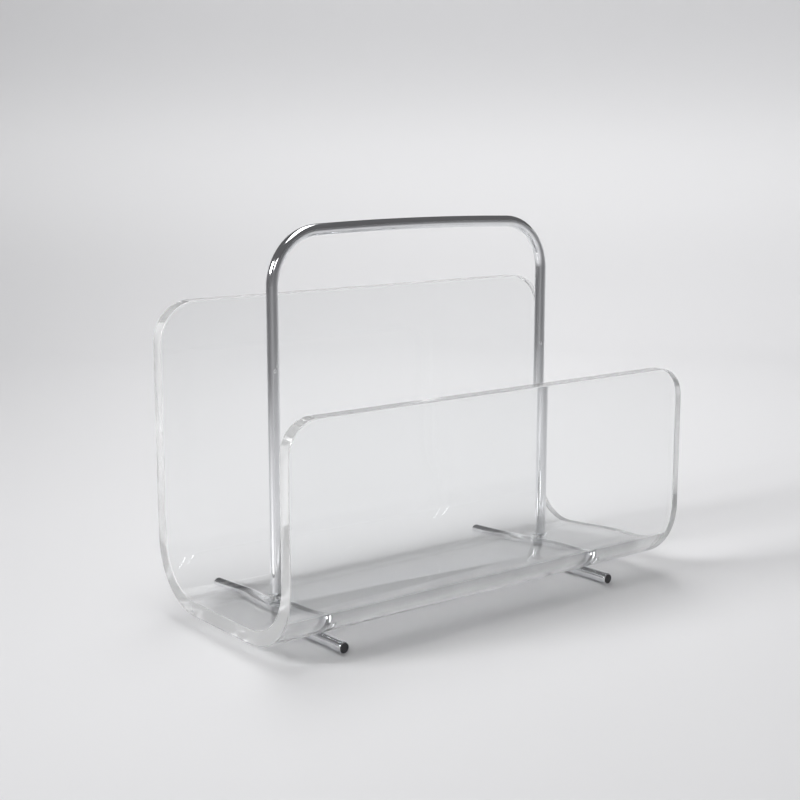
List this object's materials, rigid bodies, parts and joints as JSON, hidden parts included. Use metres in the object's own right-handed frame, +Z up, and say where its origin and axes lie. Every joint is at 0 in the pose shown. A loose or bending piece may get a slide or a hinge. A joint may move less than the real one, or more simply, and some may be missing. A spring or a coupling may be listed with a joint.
{
  "type": "magazine rack",
  "caption": "Clear U-shaped magazine cradle with a low front, a tall back, a bent rod handle between two pockets and round foot rods.",
  "frame": {"origin": "centre of the bounding box in plan, on the surface that the rack stands on", "axes": "+X along the rack's length, -Y towards the low front panel, +Y towards the tall back panel, +Z up"},
  "size_m": [0.34, 0.17, 0.265],
  "materials": {
    "clear_sheet": "water-clear cast acrylic with polished edges",
    "bright_rod": "mirror-polished chromed steel rod",
    "steel_stud": "plain zinc-plated steel",
    "clear_washer": "clear moulded plastic"
  },
  "bodies": {
    "root": {"cradle": "clear_sheet", "handle": "bright_rod", "left_foot_rod": "bright_rod", "right_foot_rod": "bright_rod", "left_stud": "steel_stud", "right_stud": "steel_stud", "left_leg_washer": "clear_washer", "right_leg_washer": "clear_washer", "left_foot_spacer": "clear_washer", "right_foot_spacer": "clear_washer"}
  },
  "joints": []
}
